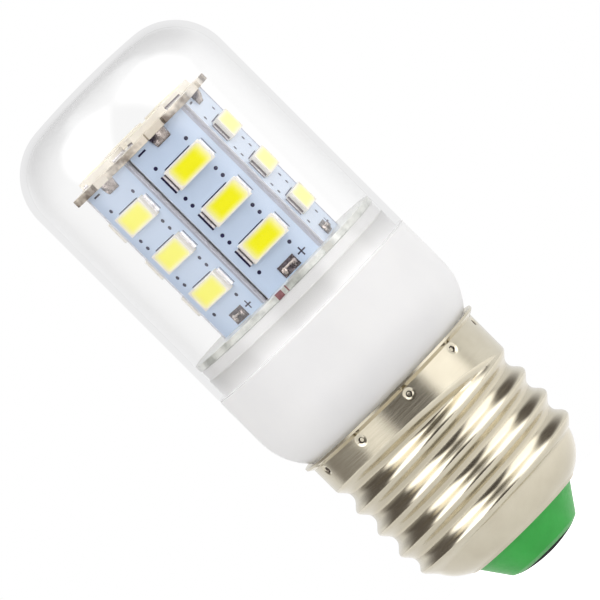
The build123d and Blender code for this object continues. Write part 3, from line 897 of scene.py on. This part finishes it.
# The outer skin is painted grey towards its outline and over its crown: painted shade.
outline_shade = mix_colours(
    tree, plain_math(tree, "MULTIPLY", edge, outside), colour(255, 255, 255), colour(214, 214, 215))
tree.links.new(outline_shade, shader.inputs["Base Color"])
grazing = plain_math(tree, "MULTIPLY", smooth_share(tree, facing, GRAZING_FROM, GRAZING_TO), crown)
gloss = plain_math(tree, "MULTIPLY", outside, plain_math(tree, "MULTIPLY_ADD", grazing, -CROWN_DULL, 1.0))
tree.links.new(gloss, shader.inputs["Coat Weight"])
tree.links.new(add_mottle(tree, 300, 0.0, 0.02), shader.inputs["Roughness"])
paths = add_node(tree, "ShaderNodeLightPath")
light_rays = plain_math(tree, "MAXIMUM", paths.outputs["Is Shadow Ray"], paths.outputs["Is Diffuse Ray"])
through = add_node(tree, "ShaderNodeBsdfTransparent", {"Color": (1, 1, 1, 1)})
mixed = add_node(tree, "ShaderNodeMixShader", {
    0: light_rays, 1: shader.outputs["BSDF"], 2: through.outputs["BSDF"]})
tree.links.new(mixed.outputs["Shader"], tree.nodes["Material Output"].inputs["Surface"])

bm = bmesh.new()
corner_centre = NECK_RADIUS - COVER_CORNER
crown_centre = COVER_TOP - COVER_CROWN
corner_height = crown_centre + sqrt((COVER_CROWN - COVER_CORNER) ** 2 - corner_centre ** 2)
corner_join = degrees(atan2(corner_height - crown_centre, corner_centre))
inner_radius = NECK_RADIUS - COVER_WALL
bore_layer = bm.verts.layers.float.new("bore")
tip = bm.verts.new((0, 0, (COVER_TOP - COVER_WALL) * MM))
tip = draw_arc(bm, tip, 0, crown_centre, corner_join - 90, 16)
tip = draw_arc(bm, tip, corner_centre, corner_height, -corner_join, 24)
tip = draw_to(bm, tip, (inner_radius, COVER_FOOT))
for vert in bm.verts:
    vert[bore_layer] = 1.0
tip = draw_to(bm, tip, (NECK_RADIUS, COVER_FOOT), (NECK_RADIUS, corner_height))
tip = draw_arc(bm, tip, corner_centre, corner_height, corner_join, 28)
draw_arc(bm, tip, 0, crown_centre, 90 - corner_join, 16)
turn_section(bm, 192)
round_rings(bm, [(NECK_RADIUS, COVER_FOOT)], 0.12)
finish_piece(bm, "clear_jar", clear_plastic, "clear_cover", "clear_cover", smooth_angle=12)

# Stage: a plain white floor below the bulb, which hangs clear of it as in its holder. It keeps the bulb's
# shadow, glows to white for the camera and through the cover, and is dimmer at the left, where the cap's
# rounded end mirrors it.
FLOOR_HEIGHT = -25
FLOOR_RADIUS = 400
FLOOR_SHEEN = 0.35
DIM_LEVEL = 0.68
DIM_SPOT = (-0.1, -0.05, -0.025)
DIM_FROM = 0.06
DIM_TO = 0.24
GLOW_NEAR = 0.42
GLOW_FROM = 0.12
GLOW_TO = 0.2
floor_white, tree, shader = new_material("floor_white", roughness=0.9)
paths = add_node(tree, "ShaderNodeLightPath")
floor_place = add_node(tree, "ShaderNodeTexCoord").outputs["Object"]
from_spot = add_node(tree, "ShaderNodeVectorMath", {0: floor_place, 1: DIM_SPOT}, operation="DISTANCE")
dimmed = add_node(tree, "ShaderNodeMapRange", {
    "Value": from_spot.outputs["Value"], "From Min": DIM_FROM, "From Max": DIM_TO,
    "To Min": DIM_LEVEL, "To Max": 1.0}).outputs["Result"]
tree.links.new(mix_colours(tree, dimmed, (0.1, 0.1, 0.1, 1), (0.9, 0.9, 0.9, 1)), shader.inputs["Base Color"])
from_bulb = add_node(tree, "ShaderNodeVectorMath", {0: floor_place}, operation="LENGTH")
white = add_node(tree, "ShaderNodeMapRange", {
    "Value": from_bulb.outputs["Value"], "From Min": GLOW_FROM, "From Max": GLOW_TO,
    "To Min": GLOW_NEAR, "To Max": 1.0}).outputs["Result"]
shown = plain_math(tree, "MULTIPLY", paths.outputs["Is Camera Ray"], white)
sheen = plain_math(tree, "MULTIPLY", paths.outputs["Is Glossy Ray"], FLOOR_SHEEN)
glow_level = plain_math(tree, "MAXIMUM", shown, plain_math(tree, "MULTIPLY", sheen, dimmed))
glow = add_node(tree, "ShaderNodeEmission", {"Color": (1, 1, 1, 1), "Strength": glow_level})
lit_floor = add_node(tree, "ShaderNodeAddShader", {0: shader.outputs["BSDF"], 1: glow.outputs["Emission"]})
through = add_node(tree, "ShaderNodeEmission", {"Color": (1, 1, 1, 1), "Strength": 1.0})
floor_mix = add_node(tree, "ShaderNodeMixShader", {
    0: paths.outputs["Is Transmission Ray"], 1: lit_floor.outputs["Shader"], 2: through.outputs["Emission"]})
tree.links.new(floor_mix.outputs["Shader"], tree.nodes["Material Output"].inputs["Surface"])
bm = bmesh.new()
bmesh.ops.create_circle(bm, cap_ends=True, segments=96, radius=FLOOR_RADIUS * MM)
bmesh.ops.translate(bm, vec=(0, 0, FLOOR_HEIGHT * MM), verts=bm.verts[:])
floor_mesh = bpy.data.meshes.new("floor")
bm.to_mesh(floor_mesh)
bm.free()
floor_mesh.materials.append(floor_white)
floor = bpy.data.objects.new("floor", floor_mesh)
bpy.context.scene.collection.objects.link(floor)

# Studio light: two tall soft boxes with faded edges, which the metal and the cover mirror, and two fills
# beside them for the plain surfaces. The room around is dark, with a paler ceiling and a white far wall,
# and the camera sees it white.
CAMERA_AZIMUTH = -13
BOX_DISTANCE = 0.7
BOX_TARGET = 0.04
BOX_TALL = 1.4
BOX_FADE = (0.5, 0.2)
BOXES = (
    ("left_box", -45, 34, 0.93, 2.3, True), ("right_box", 58, 30, 1.1, 1.95, True),
    ("left_fill", -49, 28, 0.9, 2.12, False), ("right_fill", 60, 24, 1.1, 1.72, False))
ROOM_HIGH = (0.13, 0.116, 0.108, 1)
ROOM_LOW = (0.28, 0.265, 0.25, 1)
ROOM_FRONT = (0.1, 0.09, 0.085, 1)
CEILING_MIDDLE = (0.45, 0.44, 0.43, 1)
CEILING_SIDES = (1.1, 1.1, 1.1, 1)
CEILING_LEAN = 0.08
FAR_WALL = (0.9, 0.9, 0.9, 1)
FAR_WALL_AZIMUTH = 160


def bearing(azimuth, elevation):
    """The unit vector towards a place, by its azimuth and elevation in degrees."""
    a, e = radians(azimuth), radians(elevation)
    return Vector((sin(a) * cos(e), -cos(a) * cos(e), sin(e)))


def soft_box(name, azimuth, elevation, width, radiance, mirrored):
    """An area lamp that faces the bulb and fades towards its edges."""
    lamp = bpy.data.lights.new(name, "AREA")
    lamp.shape = "RECTANGLE"
    lamp.size = width
    lamp.size_y = BOX_TALL
    lamp.energy = radiance * pi * width * BOX_TALL
    lamp.use_nodes = True
    tree = lamp.node_tree
    spot = add_node(tree, "ShaderNodeSeparateXYZ", {
        "Vector": add_node(tree, "ShaderNodeNewGeometry").outputs["Parametric"]})
    level = 1.0
    for axis in "XY":
        aside = plain_math(tree, "ABSOLUTE", plain_math(tree, "SUBTRACT", spot.outputs[axis], 0.5))
        level = plain_math(tree, "MULTIPLY", level, smooth_share(tree, aside, *BOX_FADE))
    tree.links.new(level, tree.nodes["Emission"].inputs["Strength"])
    holder = bpy.data.objects.new(name, lamp)
    towards = bearing(azimuth, elevation)
    holder.location = Vector((0, 0, BOX_TARGET)) + towards * BOX_DISTANCE
    holder.rotation_euler = towards.to_track_quat("Z", "Y").to_euler()
    holder.visible_camera = False
    holder.visible_glossy = mirrored
    holder.visible_diffuse = not mirrored
    bpy.context.scene.collection.objects.link(holder)


for name, aside, elevation, width, radiance, mirrored in BOXES:
    soft_box(name, CAMERA_AZIMUTH + aside, elevation, width, radiance, mirrored)

world = bpy.data.worlds.new("dark_room")
bpy.context.scene.world = world
world.use_nodes = True
tree = world.node_tree
tree.nodes.clear()
direction = add_node(tree, "ShaderNodeTexCoord").outputs["Generated"]


def reach_towards(azimuth):
    """How far a direction of the room points towards an azimuth, measured from the camera's."""
    return add_node(tree, "ShaderNodeVectorMath", {
        0: direction, 1: bearing(CAMERA_AZIMUTH + azimuth, 0)}, operation="DOT_PRODUCT").outputs["Value"]


climb = add_node(tree, "ShaderNodeSeparateXYZ", {"Vector": direction}).outputs["Z"]
across = reach_towards(90)
room = mix_colours(tree, smooth_share(tree, climb, 0.3, 0.0), ROOM_HIGH, ROOM_LOW)
room = mix_colours(tree, smooth_share(tree, reach_towards(0), 0.7, 0.97), room, ROOM_FRONT)
aside = plain_math(tree, "ABSOLUTE", across)
ceiling = mix_colours(tree, smooth_share(tree, aside, 0.05, 0.3), CEILING_MIDDLE, CEILING_SIDES)
lean = plain_math(tree, "MULTIPLY_ADD", across, CEILING_LEAN, climb)
room = mix_colours(tree, smooth_share(tree, lean, 0.82, 0.93), room, ceiling)
far_wall = plain_math(
    tree, "MULTIPLY", smooth_share(tree, reach_towards(FAR_WALL_AZIMUTH), 0.1, 0.5),
    smooth_share(tree, climb, 0.6, 0.2))
room = mix_colours(tree, far_wall, room, FAR_WALL)
paths = add_node(tree, "ShaderNodeLightPath")
seen = plain_math(tree, "MAXIMUM", paths.outputs["Is Camera Ray"], paths.outputs["Is Transmission Ray"])
shown = mix_colours(tree, seen, room, (1, 1, 1, 1))
background = add_node(tree, "ShaderNodeBackground", {"Color": shown, "Strength": 1.0})
tree.links.new(
    background.outputs["Background"], add_node(tree, "ShaderNodeOutputWorld").inputs["Surface"])

# Camera: a long lens, a little above the bulb's middle and to its left.
# It is rolled by an eighth of a turn, so that the dome points up and left.
CAMERA_ELEVATION = 2.6
CAMERA_DISTANCE = 1.3
CAMERA_FIELD = 0.0713
SENSOR = 36
target = Vector((0, 0, 0.04225))
back = bearing(CAMERA_AZIMUTH, CAMERA_ELEVATION)
right = Vector((0, 0, 1)).cross(back).normalized()
upward = back.cross(right)
view_right = (right - upward).normalized()
view_up = (right + upward).normalized()
camera_data = bpy.data.cameras.new("camera")
camera_data.sensor_width = SENSOR
camera_data.lens = SENSOR * CAMERA_DISTANCE / CAMERA_FIELD
camera = bpy.data.objects.new("camera", camera_data)
camera.matrix_world = Matrix.Translation(target + back * CAMERA_DISTANCE) @ Matrix(
    (view_right, view_up, back)).transposed().to_4x4()
bpy.context.scene.collection.objects.link(camera)
bpy.context.scene.camera = camera
bpy.context.scene.view_settings.view_transform = "Standard"
